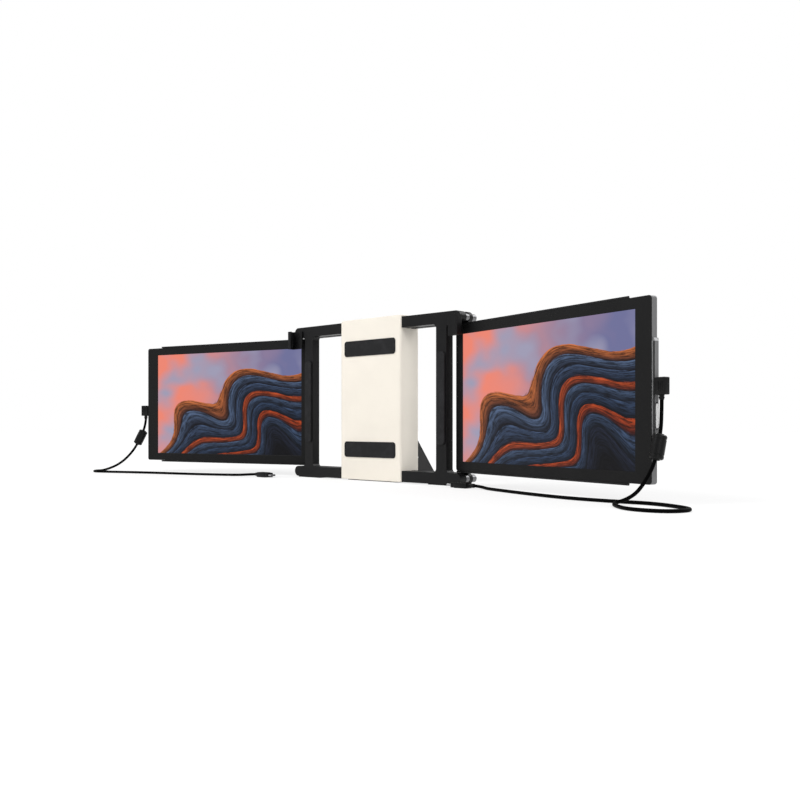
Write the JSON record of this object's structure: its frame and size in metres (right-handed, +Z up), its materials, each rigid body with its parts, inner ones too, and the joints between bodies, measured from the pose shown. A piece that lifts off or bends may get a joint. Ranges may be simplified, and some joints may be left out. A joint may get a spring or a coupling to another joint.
{
  "type": "laptop screen extender",
  "caption": "Laptop screen extender: monitors on swinging trays at the ends of a telescoping bracket that clamps a laptop's lid, with a kickstand and plugged-in leads.",
  "frame": {"origin": "middle of the housing's rubber foot, on the surface that the bracket stands on", "axes": "+X to the user's right, +Y to the back, away from the user, +Z up"},
  "size_m": [0.94, 0.2433, 0.2078],
  "materials": {
    "cream_shell": "satin",
    "black_plastic": "satin",
    "bezel_black": "matte",
    "grey_shell": "satin",
    "rail_silver": "satin",
    "steel": "satin",
    "leg_black": "satin",
    "rubber_black": "matte",
    "lead_black": "satin",
    "plug_black": "satin",
    "screen": "gloss",
    "diffuser": "matte",
    "board_green": "satin",
    "guide_white": "matte",
    "bush_brass": "satin",
    "key_grey": "satin"
  },
  "bodies": {
    "housing": {"housing_front": "cream_shell", "housing_rear": "cream_shell", "housing_screws": "steel", "chassis": "steel", "rail_guides": "guide_white", "housing_pads": "rubber_black", "housing_foot": "rubber_black", "kickstand_pin": "steel"},
    "kickstand": {"kickstand_leg": "leg_black", "kickstand_tip": "rubber_black"},
    "right_arm": {"right_arm_frame": "black_plastic", "right_slide_rails": "rail_silver", "right_arm_back": "black_plastic", "right_arm_caps": "rail_silver", "right_arm_screws": "steel", "right_hinge_pins": "steel", "right_lid_claw": "black_plastic", "right_grip_pads": "rubber_black", "right_arm_foot": "rubber_black"},
    "right_monitor": {"right_tray": "black_plastic", "right_hinge_bushes": "bush_brass", "right_tray_screws": "steel", "right_back_shell": "grey_shell", "right_bezel": "bezel_black", "right_display_cell": "screen", "right_backlight": "diffuser", "right_board": "board_green", "right_socket": "steel", "right_control_cover": "grey_shell", "right_lead": "lead_black", "right_lead_plugs": "plug_black", "right_plug_tips": "steel", "right_ferrite": "plug_black"},
    "right_rocker": {"right_menu_rocker": "key_grey"},
    "right_button": {"right_power_button": "key_grey"},
    "left_arm": {"left_arm_frame": "black_plastic", "left_slide_rails": "rail_silver", "left_arm_back": "black_plastic", "left_arm_caps": "rail_silver", "left_arm_screws": "steel", "left_hinge_pins": "steel", "left_lid_claw": "black_plastic", "left_grip_pads": "rubber_black", "left_arm_foot": "rubber_black"},
    "left_monitor": {"left_tray": "black_plastic", "left_hinge_bushes": "bush_brass", "left_tray_screws": "steel", "left_back_shell": "grey_shell", "left_bezel": "bezel_black", "left_display_cell": "screen", "left_backlight": "diffuser", "left_board": "board_green", "left_socket": "steel", "left_control_cover": "grey_shell", "left_lead": "lead_black", "left_lead_plugs": "plug_black", "left_plug_tips": "steel", "left_ferrite": "plug_black"},
    "left_rocker": {"left_menu_rocker": "key_grey"},
    "left_button": {"left_power_button": "key_grey"}
  },
  "joints": [
    {"name": "kickstand_fold", "type": "hinge", "parent": "housing", "child": "kickstand", "pos_m": [0, 0.0225, 0.082], "axis": [1, 0, 0], "range_deg": [0, 142]},
    {"name": "right_arm_slide", "type": "slide", "parent": "housing", "child": "right_arm", "axis": [1, 0, 0], "range_m": [0, 0.028]},
    {"name": "right_monitor_swing", "type": "hinge", "parent": "right_arm", "child": "right_monitor", "pos_m": [0.14055, 0.0056, 0.1], "axis": [0, 0, 1], "range_deg": [-20, 120]},
    {"name": "right_menu_rock", "type": "hinge", "parent": "right_monitor", "child": "right_rocker", "pos_m": [0.42086, -0.07461, 0.0798], "axis": [0.2546, 0.967, 0], "range_deg": [-4, 4], "stiffness_Nm_per_rad": 0.05},
    {"name": "right_power_press", "type": "slide", "parent": "right_monitor", "child": "right_button", "axis": [-0.967, 0.2546, 0], "range_m": [0, 0.0005], "stiffness_N_per_m": 800},
    {"name": "left_arm_slide", "type": "slide", "parent": "housing", "child": "left_arm", "axis": [-1, 0, 0], "range_m": [0, 0.028]},
    {"name": "left_monitor_swing", "type": "hinge", "parent": "left_arm", "child": "left_monitor", "pos_m": [-0.14055, 0.0056, 0.1], "axis": [0, 0, -1], "range_deg": [-20, 120]},
    {"name": "left_menu_rock", "type": "hinge", "parent": "left_monitor", "child": "left_rocker", "pos_m": [-0.42086, -0.07461, 0.1202], "axis": [-0.2546, 0.967, 0], "range_deg": [-4, 4], "stiffness_Nm_per_rad": 0.05},
    {"name": "left_power_press", "type": "slide", "parent": "left_monitor", "child": "left_button", "axis": [0.967, 0.2546, 0], "range_m": [0, 0.0005], "stiffness_N_per_m": 800}
  ]
}
